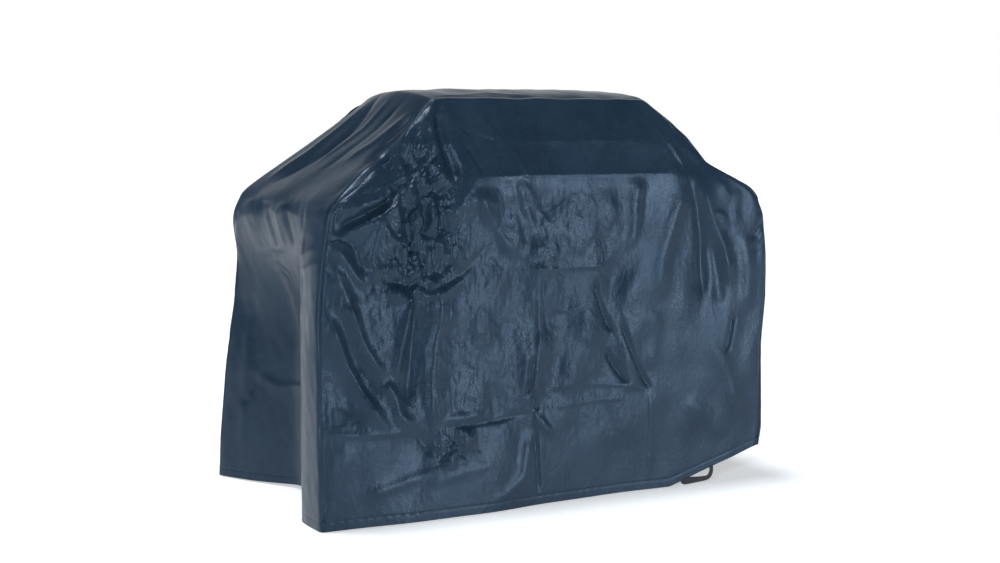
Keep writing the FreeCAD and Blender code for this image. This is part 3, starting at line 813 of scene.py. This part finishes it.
def vinyl(name, worn):
    """Embossed vinyl: grain, small crumples and soft wrinkles in three bumps, with scuffed crests."""
    material, add = new_material(name, Specular_IOR_Level=0.28, Specular_Tint=(0.62, 0.78, 1.0, 1))
    place = add("TexCoord").outputs["Object"]
    drawn = add("Mapping", {"Vector": place, "Scale": (1.0, 1.0, 0.55)}).outputs["Vector"]

    def noise(scale, detail, roughness, source):
        inputs = {"Scale": scale, "Detail": detail, "Roughness": roughness, "Vector": source}
        return add("TexNoise", inputs).outputs["Fac"]

    def worked_out(operation, *values):
        return add("Math", dict(enumerate(values)), operation=operation).outputs["Value"]

    def remapped(*numbers):
        """A value, moved from the range between the next two numbers to that between the last two."""
        return add("MapRange", dict(enumerate(numbers))).outputs["Result"]

    mottle = noise(7, 8, 0.6, place)
    crumple = add("Attribute", attribute_name="crumple").outputs["Fac"]
    # Soft wrinkles, 20 to 60 mm across.
    wrinkle = noise(26, 3, 0.55, drawn)
    # Creased facets, about 14 mm across, on places bent by a noise.
    bend = add("TexNoise", {"Scale": 22, "Vector": place}).outputs["Color"]
    bent = add("VectorMath", {0: bend, 1: (0.03, 0.03, 0.03), 2: drawn}, operation="MULTIPLY_ADD")
    facet = add("TexVoronoi", {"Scale": 68, "Vector": bent.outputs["Vector"]}).outputs["Distance"]
    # Embossed grain, 4 to 8 mm across.
    emboss = noise(210, 3, 0.7, place)

    scuff = worked_out("MULTIPLY", remapped(emboss, 0.52, 0.70, 0.0, 1.0), worn)
    worn_mottle = worked_out("ADD", mottle, scuff)
    tint = ramp(add, worn_mottle, (0.30, (0.0110, 0.0225, 0.0390)), (0.72, (0.0190, 0.0360, 0.0570)))
    matt = worked_out("MULTIPLY_ADD", crumple, -0.13, remapped(worn_mottle, 0.3, 0.8, 0.29, 0.43))

    rough = worked_out("MULTIPLY_ADD", crumple, 1.6, 0.03)
    normal = None
    for height, share, distance in (
        (wrinkle, rough, 0.0045),
        (facet, rough, 0.0034),
        (emboss, worked_out("MINIMUM", rough, 0.6), 0.0026),
    ):
        inputs = {"Strength": 0.5, "Distance": distance, "Height": worked_out("MULTIPLY", height, share)}
        if normal is not None:
            inputs["Normal"] = normal
        normal = add("Bump", inputs).outputs["Normal"]
    return feed(material, Base_Color=tint, Roughness=matt, Normal=normal)


VINYL = vinyl("cover_vinyl", 0.35)
for piece in (front_panel, gusset_panel, back_panel):
    piece.data.materials.append(VINYL)


# ---------------------------------------------------------------- hems, bindings, stitches and loops
WALLS = coarse[:N_ROWS * N_COLUMNS].reshape(N_ROWS, N_COLUMNS, 3)
WALL_NORMALS = surface_normals(coarse, coarse_quads)[:N_ROWS * N_COLUMNS].reshape(N_ROWS, N_COLUMNS, 3)
SURFACE = BVHTree.FromPolygons(points.tolist(), quads.tolist())


def ring_mesh(name, rings):
    """A tube through the rings, an array of rings x points x 3, with flat ends."""
    number, around = rings.shape[:2]
    faces = []
    for ring in range(number - 1):
        for k in range(around):
            a, b = ring * around + k, ring * around + (k + 1) % around
            faces.append((a, a + around, b + around, b))
    faces.append(tuple(range(around)))
    faces.append(tuple((number - 1) * around + k for k in reversed(range(around))))
    return mesh_object(name, rings.reshape(-1, 3), faces)


def dressed(piece, body, slot, material, *nodes):
    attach(piece, body)
    if nodes:
        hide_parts(*nodes)
    piece.data.materials.append(material)
    return piece


def side_columns(side):
    """The columns of one side, from corner to corner."""
    return np.arange(CORNERS[side], CORNERS[side + 1] + 1) % N_COLUMNS


def hem(name, side, node):
    """The turned-up hem of one side: a flat band inside the sheet that wraps its lower edge."""
    columns = side_columns(side)
    outer, inner = 1.0 * MM, 2.6 * MM
    section = [(row, outer, 0.0) for row in range(HEM_ROW, 0, -1)]
    section += [
        (0, 0.6 * MM, 0.4 * MM), (0, -0.5 * MM, 0.0), (0, 0.6 * MM, -0.7 * MM),
        (0, inner - 0.4 * MM, -0.3 * MM),
    ]
    section += [(row, inner, 0.0) for row in range(1, HEM_ROW + 1)]
    rings = np.zeros((len(columns), len(section), 3))
    for k, (row, depth, raise_by) in enumerate(section):
        rings[:, k] = WALLS[row, columns] - WALL_NORMALS[row, columns] * depth
        rings[:, k, 2] += raise_by
    rings[:, :, 2] = np.maximum(rings[:, :, 2], 0.0001)
    return dressed(ring_mesh(name, rings), "cover", "cover_vinyl", VINYL, node)


def stitches(name, runs, length, gap, radius):
    """Threads along the runs of (place, outward) pairs, each a short spindle that lies on the sheet."""
    corners, faces = [], []
    for places, outward in runs:
        along = np.concatenate([[0], np.cumsum(np.linalg.norm(np.diff(places, axis=0), axis=1))])
        for start in np.arange(gap, along[-1] - length, length + gap):
            at = [start, start + length]
            a, b = (np.array([np.interp(t, along, places[:, k]) for k in range(3)]) for t in at)
            out = np.array([np.interp(start, along, outward[:, k]) for k in range(3)])
            ahead = (b - a) / np.linalg.norm(b - a)
            out = out - ahead * (out @ ahead)
            out /= np.linalg.norm(out)
            across = np.cross(ahead, out)
            base = len(corners)
            for share, thick in ((0.0, 0.25), (0.25, 1.0), (0.75, 1.0), (1.0, 0.25)):
                centre = a + (b - a) * share + out * radius * (0.9 * thick - 0.4)
                for turn in range(5):
                    angle = 2 * math.pi * turn / 5
                    spoke = out * math.cos(angle) + across * math.sin(angle)
                    corners.append(centre + spoke * radius * thick)
            for ring in range(3):
                for k in range(5):
                    p, q = base + ring * 5 + k, base + ring * 5 + (k + 1) % 5
                    faces.append((p, q, q + 5, p + 5))
            faces.append(tuple(base + k for k in reversed(range(5))))
            faces.append(tuple(base + 15 + k for k in range(5)))
    return mesh_object(name, corners, faces)


def on_surface(places):
    """The nearest places on the sheet, and the directions out of it."""
    found = [SURFACE.find_nearest(Vector(place)) for place in places]
    at = np.array([hit[0] for hit in found])
    out = np.array([hit[1] for hit in found])
    return at, out


def seam_binding(name, left_corner, right_corner, across_columns, node):
    """The bound seam allowance that stands inside along a whole seam, from hem to hem over the hood."""
    path = [(row, left_corner) for row in range(HEM_ROW + 1, N_ROWS)]
    path += [(N_ROWS - 1, column) for column in across_columns]
    path += [(row, right_corner) for row in range(N_ROWS - 1, HEM_ROW, -1)]
    place = np.array([WALLS[row, column % N_COLUMNS] for row, column in path])
    out = np.array([WALL_NORMALS[row, column % N_COLUMNS] for row, column in path])
    for _ in range(6):
        out[1:-1] = (out[:-2] + out[1:-1] * 2 + out[2:]) / 4
        place[1:-1] = (place[:-2] + place[1:-1] * 2 + place[2:]) / 4
    out /= np.linalg.norm(out, axis=1, keepdims=True)
    ahead = np.gradient(place, axis=0)
    side = np.cross(ahead, out)
    side /= np.linalg.norm(side, axis=1, keepdims=True)
    half = 1.3 * MM
    section = [(2.5, 0.6), (5, 1.0), (9, 1.0), (12, 1.0), (13, 0.5)]
    section += [(depth, -share) for depth, share in reversed(section)]
    rings = np.stack([place - out * depth * MM + side * half * share for depth, share in section], axis=1)
    return dressed(ring_mesh(name, rings), "cover", "binding_tape", TAPE, node)


# The middle of a loop's strap, in mm along the hem and up from its edge, and the strap's width at each place.
LOOP_LINE = [(-48, 4), (-45, -2), (-33, -6), (-8, -13.5), (21, -21), (34, -22), (43, -18), (50, -8), (53, 4)]
LOOP_WIDTH = [22, 22, 21, 17, 14, 13.5, 14, 13, 13]


def rounded_path(places, number):
    """A smooth curve through the places."""
    places = np.array(places, float)
    padded = np.concatenate([2 * places[:1] - places[1:2], places, 2 * places[-1:] - places[-2:-1]])
    made = []
    for t in np.linspace(0, len(places) - 1 - 1e-9, number):
        k = int(t)
        u = t - k
        a, b, c, d = padded[k:k + 4]
        square, cube = 2 * a - 5 * b + 4 * c - d, 3 * b - a - 3 * c + d
        made.append(0.5 * (2 * b + (c - a) * u + square * u ** 2 + cube * u ** 3))
    return np.array(made)


def tie_loop(body, origin, along, below, out, thickness, top):
    """One webbing loop: a flattened strap in a U below the hem edge, from top mm above the edge."""
    places = np.column_stack([LOOP_LINE, LOOP_WIDTH]).astype(float)
    places[[0, -1], 1] = top
    line = rounded_path(places, 49)
    ahead = np.gradient(line[:, :2], axis=0)
    ahead /= np.linalg.norm(ahead, axis=1, keepdims=True)
    origin, along, below, out = (np.array(v, float) for v in (origin, along, below, out))
    rings = []
    for (u, w, width), (du, dw) in zip(line, ahead):
        centre = origin + along * u * MM - below * w * MM
        side = -along * dw - below * du
        ring = []
        for k in range(16):
            angle = 2 * math.pi * k / 16
            across = math.copysign(abs(math.cos(angle)) ** 0.5, math.cos(angle)) * width / 2 * MM
            deep = math.copysign(abs(math.sin(angle)) ** 0.8, math.sin(angle)) * thickness / 2
            ring.append(centre + side * across + out * deep)
        rings.append(ring)
    return dressed(ring_mesh(body + "_strap", np.array(rings)), body, "webbing", WEBBING, body)


def ends_column(x, outward, flat_lying, hinge):
    """Places and directions down one line of a sewn end, inside the hem and then along the floor."""
    lift = max(0.0, (x - LIFT_START) * LIFT_SLOPE)
    column = []
    for z in np.linspace(0.036, 0.005, 9):
        hit = SURFACE.ray_cast(Vector((x, outward * 0.30, lift + z)), Vector((0, outward, 0)))
        y = hit[0][1] if hit[0] is not None else outward * 0.384
        column.append(((x, y - outward * 3.5 * MM, lift + z), (0.0, -outward, 0.0)))
    if flat_lying:
        wall = column[-1][0][1]
        column.append(((x, wall - outward * 0.4 * MM, 0.0026), (0.0, -outward * 0.7, 0.7)))
        end = hinge[1] + outward * 1.6 * MM
        for share in (0.12, 0.55, 1.0):
            if (wall - end) * outward > 3 * MM:
                column.append(((x, wall + (end - wall) * share, 0.0014), (0.0, 0.0, 1.0)))
    return column


def loop_ends(node, side, hinge):
    """The two sewn ends of one loop, inside the hem and down to the line where the loop starts."""
    low, high = (np.array(corner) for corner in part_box(node))
    outward = -1.0 if side == FRONT else 1.0
    flat_lying = high[2] < 0.05 and low[0] < 0
    width, half, lines = 0.022, 0.6 * MM, 7
    corners, faces = [], []
    for start in (low[0], high[0] - width):
        grid = [ends_column(x, outward, flat_lying, hinge) for x in np.linspace(start, start + width, lines)]
        number = min(len(column) for column in grid)
        base, sheet, last = len(corners), lines * number, lines - 1
        for face in (-1, 1):
            for i, column in enumerate(grid):
                for j, (place, out) in enumerate(column[:number]):
                    rim = 0.4 if i in (0, last) or j in (0, number - 1) else 1.0
                    corners.append(np.array(place) + np.array(out) * half * rim * face)
        for face in (0, 1):
            for i in range(last):
                for j in range(number - 1):
                    a = base + face * sheet + i * number + j
                    quad = (a, a + number, a + number + 1, a + 1)
                    faces.append(quad if (face == 1) == (outward < 0) else quad[::-1])
        border = [(i, 0) for i in range(last)] + [(last, j) for j in range(number - 1)]
        border += [(i, number - 1) for i in range(last, 0, -1)] + [(0, j) for j in range(number - 1, 0, -1)]
        for (i, j), (m, n) in zip(border, border[1:] + border[:1]):
            a, b = base + i * number + j, base + m * number + n
            quad = (a, b, b + sheet, a + sheet)
            faces.append(quad if outward > 0 else quad[::-1])
    return dressed(mesh_object(node + "_sewn", corners, faces), "cover", "webbing", WEBBING, node)


def cloth_material(name, dark, light, scale, roughness):
    """Plain woven tape: fine ribs across and a little colour variation."""
    material, add = new_material(name, Roughness=roughness)
    place = add("TexCoord").outputs["Object"]
    ribs = [
        add("TexWave", {"Scale": scale, "Distortion": 0.6, "Vector": place}, bands_direction=direction)
        for direction in ("X", "Z")
    ]
    weave = add("Math", {k: rib.outputs["Fac"] for k, rib in enumerate(ribs)}, operation="MULTIPLY")
    speckle = add("TexNoise", {"Scale": 220, "Vector": place}).outputs["Fac"]
    tint = ramp(add, speckle, (0.0, dark), (1.0, light))
    bump = add("Bump", {"Strength": 0.5, "Distance": 0.0004, "Height": weave.outputs["Value"]})
    return feed(material, Base_Color=tint, Normal=bump.outputs["Normal"])


WEBBING = cloth_material("webbing", (0.006, 0.008, 0.011), (0.018, 0.021, 0.027), 260, 0.55)
TAPE = cloth_material("binding_tape", (0.010, 0.014, 0.020), (0.022, 0.030, 0.041), 320, 0.6)
THREAD = cloth_material("thread", (0.05, 0.065, 0.085), (0.09, 0.11, 0.135), 500, 0.5)

for side, word in enumerate(("front", "right", "back", "left")):
    hem(word + "_hem", side, word + "_hem_fold")
seam_binding(
    "front_binding", CORNERS[0], CORNERS[1], range(CORNERS[0], CORNERS[1] + 1), "front_seam_binding",
)
seam_binding(
    "back_binding", CORNERS[3], CORNERS[2], range(CORNERS[3], CORNERS[2] - 1, -1), "back_seam_binding",
)
stitch_row = int(np.argmin(abs(ROWS - STITCH_LINE)))
hem_runs = [on_surface(WALLS[stitch_row, side_columns(side)]) for side in range(4)]
hem_thread = stitches("hem_stitching", hem_runs, 4.2 * MM, 1.8 * MM, 0.45 * MM)
dressed(hem_thread, "cover", "cover_vinyl", THREAD)

# The right loops hang from the rising hem, and the left ones lie on the floor.
RISE = 0.283
SLOPE = math.hypot(1, RISE)
RIGHT_ALONG, RIGHT_BELOW = (1 / SLOPE, 0, RISE / SLOPE), (RISE / SLOPE, 0, -1 / SLOPE)
joints = {joint["child"]: joint for joint in frame["joints"]}
for name in ("front_left_tie_loop", "back_left_tie_loop", "front_right_tie_loop", "back_right_tie_loop"):
    origin = np.array(joints[name]["pos_m"])
    if "left" in name:
        below = (0, 1 if name.startswith("front") else -1, 0)
        tie_loop(name, origin, (1, 0, 0), below, (0, 0, 1), 1.7 * MM, -1.5)
    else:
        tie_loop(name, origin, RIGHT_ALONG, RIGHT_BELOW, (0, -1, 0), 3.0 * MM, 4)
for corner in ("front_left", "front_right", "back_left", "back_right"):
    hinge = joints[corner + "_tie_loop"]["pos_m"]
    loop_ends(corner + "_loop_ends", FRONT if "front" in corner else BACK, hinge)


# ---------------------------------------------------------------- stage, light and camera
def ground():
    bpy.ops.mesh.primitive_plane_add(size=60, location=(0, 0, -0.0005))
    floor = bpy.context.object
    floor.name = "floor"
    paint, _ = new_material(
        "floor_paint", Base_Color=(0.90, 0.91, 0.92, 1), Roughness=0.8,
        Emission_Color=(1, 1, 1, 1), Emission_Strength=0.48,
    )
    floor.data.materials.append(paint)


def room():
    """The world: a band low down, white behind the cover and grey blue elsewhere, under a dark ceiling."""
    world = bpy.data.worlds.new("studio")
    bpy.context.scene.world = world
    world.use_nodes = True
    tree = world.node_tree
    add = node_maker(tree)
    direction = add("TexCoord").outputs["Generated"]
    level = add("VectorMath", {0: direction, 1: (-0.20, -0.36, 1.0)}, operation="DOT_PRODUCT")
    band = ramp(add, level.outputs["Value"], (0.06, (1, 1, 1)), (0.22, (0.07, 0.07, 0.075)))
    behind = add("VectorMath", {0: direction, 1: (0.484, 0.875, 0.0)}, operation="DOT_PRODUCT")
    share = add("MapRange", {0: behind.outputs["Value"], 1: 0.78, 2: 0.94, 3: 0.0, 4: 1.0})
    tone = add("MixRGB", {
        "Fac": share.outputs["Result"], "Color1": (0.19, 0.26, 0.36, 1), "Color2": (1, 1, 1, 1),
    })
    mixed = add("MixRGB", {"Fac": 1.0, "Color1": band, "Color2": tone.outputs["Color"]}, blend_type="MULTIPLY")
    tree.links.new(mixed.outputs["Color"], tree.nodes["Background"].inputs["Color"])


def lamps():
    """Three cool sun lamps, as (name, direction towards it, spread in degrees, power, colour)."""
    for name, towards, spread, power, tint in (
        ("key", (0.46, -0.88, 0.06), 11, 1.15, (0.80, 0.90, 1.0)),
        ("side", (-0.70, -0.68, 0.32), 9, 1.25, (0.74, 0.87, 1.0)),
        ("overhead", (-0.12, 0.16, 1.0), 16, 2.3, (0.90, 0.95, 1.0)),
    ):
        light = bpy.data.lights.new(name, "SUN")
        light.angle = math.radians(spread)
        light.energy = power
        light.color = tint
        lamp = bpy.data.objects.new(name, light)
        lamp.rotation_euler = Vector(towards).to_track_quat("Z", "Y").to_euler()
        bpy.context.scene.collection.objects.link(lamp)


def camera():
    data = bpy.data.cameras.new("camera")
    data.lens = 60.05
    data.sensor_width = 36
    eye = bpy.data.objects.new("camera", data)
    eye.location = (-2.2995, -4.203, 1.040)
    eye.rotation_euler = (math.radians(90 - 5.629), 0, math.radians(-28.949))
    bpy.context.scene.collection.objects.link(eye)
    bpy.context.scene.camera = eye


ground()
room()
lamps()
camera()
bpy.context.scene.view_settings.view_transform = "Standard"
